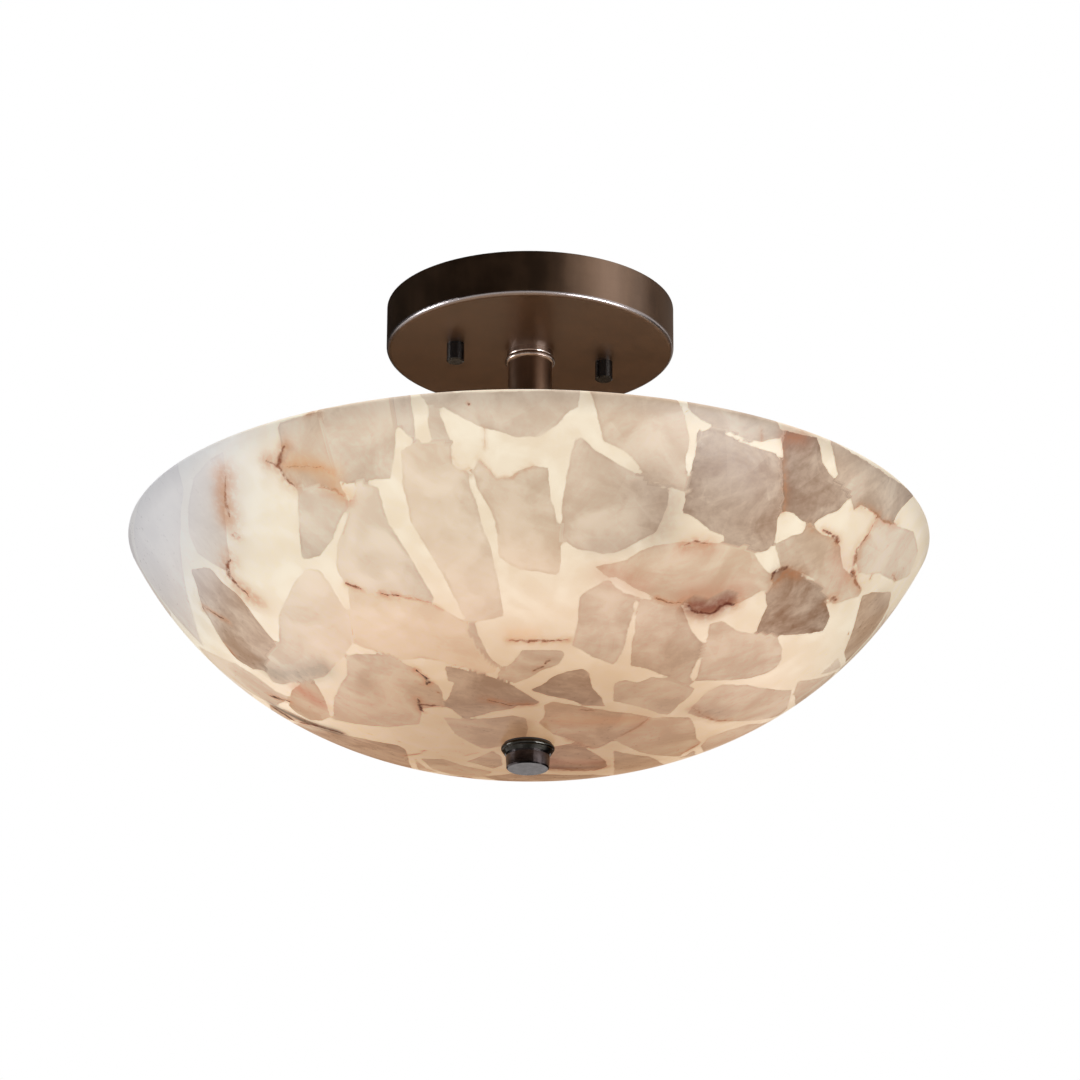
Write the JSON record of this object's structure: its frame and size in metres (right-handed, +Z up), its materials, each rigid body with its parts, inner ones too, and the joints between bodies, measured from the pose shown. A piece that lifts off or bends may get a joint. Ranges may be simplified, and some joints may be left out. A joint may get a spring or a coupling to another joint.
{
  "type": "semi flush ceiling light",
  "caption": "Semi flush ceiling light: a round canopy and straight stem carry a shallow bowl of stone pieces set in clear resin, held from below by a finial.",
  "frame": {"origin": "on the ceiling, at the middle of the mounting strap's top face, on the axis of the stem", "axes": "+Z up into the ceiling along the stem; X along the two canopy knobs and the two lamp sockets"},
  "size_m": [0.3555, 0.3556, 0.2188],
  "materials": {
    "bronze_finish": "satin",
    "black_knob": "gloss",
    "dark_nickel": "polished",
    "stone_resin": "polished",
    "zinc_steel": "zinc plated",
    "cluster_paint": "satin",
    "green_steel": "gloss",
    "bare_copper": "bare",
    "tinned_brass": "tinned",
    "porcelain": "glazed",
    "socket_brass": "bare",
    "lamp_glass": "frosted",
    "lamp_base": "bright",
    "lamp_insulator": "gloss",
    "lamp_tip": "soldered",
    "gasket_rubber": "matte",
    "black_insulation": "satin",
    "white_insulation": "satin",
    "connector_plastic": "satin"
  },
  "bodies": {
    "fixture": {"black_lead_left": "black_insulation", "black_lead_right": "black_insulation", "bottom_rod": "zinc_steel", "bowl_stop_nut": "zinc_steel", "canopy": "bronze_finish", "canopy_washer": "zinc_steel", "cluster_body": "cluster_paint", "cluster_lid": "cluster_paint", "cluster_lock_washer": "zinc_steel", "cluster_nipple": "zinc_steel", "cluster_nut": "zinc_steel", "cluster_screws": "zinc_steel", "ground_lead": "bare_copper", "ground_screw": "green_steel", "ground_terminal": "tinned_brass", "mounting_strap": "zinc_steel", "rod_nuts": "zinc_steel", "socket_body_left": "porcelain", "socket_body_right": "porcelain", "socket_contact_left": "socket_brass", "socket_contact_right": "socket_brass", "socket_locknuts": "zinc_steel", "socket_nipple_left": "zinc_steel", "socket_nipple_right": "zinc_steel", "socket_rivets_left": "socket_brass", "socket_rivets_right": "socket_brass", "socket_shell_left": "socket_brass", "socket_shell_right": "socket_brass", "stem_bottom_plug": "zinc_steel", "stem_collar": "bronze_finish", "stem_top_plug": "zinc_steel", "stem_tube": "bronze_finish", "strap_studs": "zinc_steel", "stud_locknuts": "zinc_steel", "top_lock_washer": "zinc_steel", "top_nipple": "zinc_steel", "top_nut": "zinc_steel", "white_lead_left": "white_insulation", "white_lead_right": "white_insulation", "wire_connector_black": "connector_plastic", "wire_connector_white": "connector_plastic"},
    "bowl_group": {"bowl": "stone_resin", "bowl_gasket": "gasket_rubber", "bowl_washer": "zinc_steel"},
    "finial_seat": {"finial_flange": "dark_nickel", "finial_gasket": "gasket_rubber"},
    "finial": {"finial_knob": "dark_nickel"},
    "left_canopy_knob": {"canopy_knob_left": "black_knob"},
    "right_canopy_knob": {"canopy_knob_right": "black_knob"},
    "left_lamp": {"lamp_glass_left": "lamp_glass", "lamp_base_left": "lamp_base", "lamp_insulator_left": "lamp_insulator", "lamp_tip_left": "lamp_tip"},
    "right_lamp": {"lamp_glass_right": "lamp_glass", "lamp_base_right": "lamp_base", "lamp_insulator_right": "lamp_insulator", "lamp_tip_right": "lamp_tip"}
  },
  "joints": [
    {"name": "bowl_lower", "type": "slide", "parent": "fixture", "child": "bowl_group", "axis": [0, 0, -1], "range_m": [0, 0.15]},
    {"name": "finial_drop", "type": "slide", "parent": "bowl_group", "child": "finial_seat", "axis": [0, 0, -1], "range_m": [0, 0.004]},
    {"name": "finial_turn", "type": "hinge", "parent": "finial_seat", "child": "finial", "pos_m": [0, 0, -0.2145], "axis": [0, 0, -1], "range_deg": [0, 1531]},
    {"name": "left_knob_turn", "type": "hinge", "parent": "fixture", "child": "left_canopy_knob", "pos_m": [-0.035, 0, -0.025], "axis": [0, 0, -1], "range_deg": [0, 3240]},
    {"name": "right_knob_turn", "type": "hinge", "parent": "fixture", "child": "right_canopy_knob", "pos_m": [0.035, 0, -0.025], "axis": [0, 0, -1], "range_deg": [0, 3240]},
    {"name": "left_lamp_turn", "type": "hinge", "parent": "fixture", "child": "left_lamp", "pos_m": [-0.055, 0, -0.14], "axis": [-1, 0, 0], "range_deg": [0, 1800]},
    {"name": "right_lamp_turn", "type": "hinge", "parent": "fixture", "child": "right_lamp", "pos_m": [0.055, 0, -0.14], "axis": [1, 0, 0], "range_deg": [0, 1800]}
  ],
  "couplings": [
    {"joint": "finial_turn", "follows": "finial_drop", "rad_per_m": 6679}
  ]
}
